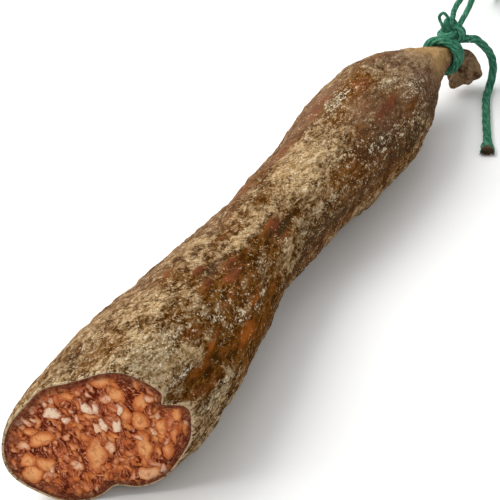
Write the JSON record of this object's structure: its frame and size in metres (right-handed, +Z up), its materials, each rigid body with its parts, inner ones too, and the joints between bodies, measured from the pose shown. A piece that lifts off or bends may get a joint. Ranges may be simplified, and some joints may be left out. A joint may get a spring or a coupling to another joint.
{
  "type": "cured sausage",
  "caption": "Dry-cured sausage in a mould-dusted natural casing, cut on the slant at one end and tied with green twine at the other.",
  "frame": {"origin": "middle of the sausage's bounding box on the plane it lies on", "axes": "+X runs along the sausage from the cut face to the tied end, +Z is up, and the slanted cut face looks towards -X and -Y"},
  "size_m": [0.3679, 0.0604, 0.049],
  "materials": {
    "casing": "dry natural casing with pale powdery mould",
    "meat": "moist cut face of chopped red meat and orange-stained fat",
    "twine": "green twisted fibre"
  },
  "bodies": {
    "root": {"casing": "casing", "meat": "meat", "twine_knot": "twine", "twine_loop": "twine", "twine_end": "twine"}
  },
  "joints": []
}
